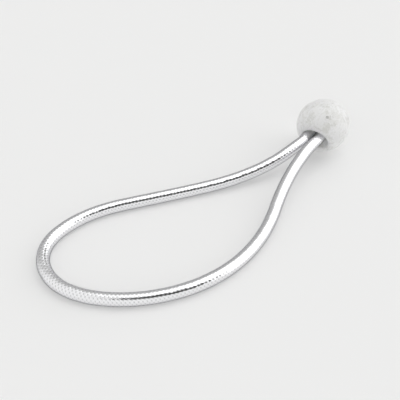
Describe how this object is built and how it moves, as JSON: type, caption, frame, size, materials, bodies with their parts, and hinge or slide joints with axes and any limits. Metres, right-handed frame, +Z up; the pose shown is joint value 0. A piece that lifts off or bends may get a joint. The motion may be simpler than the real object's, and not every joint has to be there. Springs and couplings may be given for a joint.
{
  "type": "ball-end elastic loop tie",
  "caption": "Silver braided elastic cord doubled into a teardrop loop, its two ends crimped together inside a frosted translucent ball.",
  "frame": {"origin": "the point of the table under the ball's centre", "axes": "+X level, from the ball out along its bore towards the loop; +Y level, a quarter turn to the left of +X seen from above, so that the loop bends over to -Y; +Z up"},
  "size_m": [0.151, 0.0849, 0.025],
  "materials": {
    "frosted_plastic": "frosted, translucent, moulded",
    "silver_braid": "shiny metallised yarn, fine braid",
    "core_rubber": "natural latex",
    "sleeve_metal": "drawn, crimped",
    "melted_braid": "melted ends of the yarn"
  },
  "bodies": {
    "loop": {"cord_sheath": "silver_braid", "core_strand_1": "core_rubber", "core_strand_2": "core_rubber", "core_strand_3": "core_rubber", "core_strand_4": "core_rubber", "core_strand_5": "core_rubber", "core_strand_6": "core_rubber", "core_strand_7": "core_rubber"},
    "ball_body": {"ball": "frosted_plastic"},
    "cord_ends": {"crimp_sleeve": "sleeve_metal", "sealed_tip_near": "melted_braid", "sealed_tip_far": "melted_braid"}
  },
  "joints": [
    {"name": "loop_stretch", "type": "slide", "parent": "loop", "child": "ball_body", "axis": [-1, 0, 0], "range_m": [0, 0.12], "stiffness_N_per_m": 500, "deforming": ["cord_sheath", "core_strand_1", "core_strand_2", "core_strand_3", "core_strand_4", "core_strand_5", "core_strand_6", "core_strand_7"]},
    {"name": "tails_pull", "type": "slide", "parent": "ball_body", "child": "cord_ends", "axis": [-0.9439, 0, 0.3304], "range_m": [0, 0.02], "stiffness_N_per_m": 500, "deforming": ["cord_sheath", "core_strand_1", "core_strand_2", "core_strand_3", "core_strand_4", "core_strand_5", "core_strand_6", "core_strand_7"]}
  ]
}
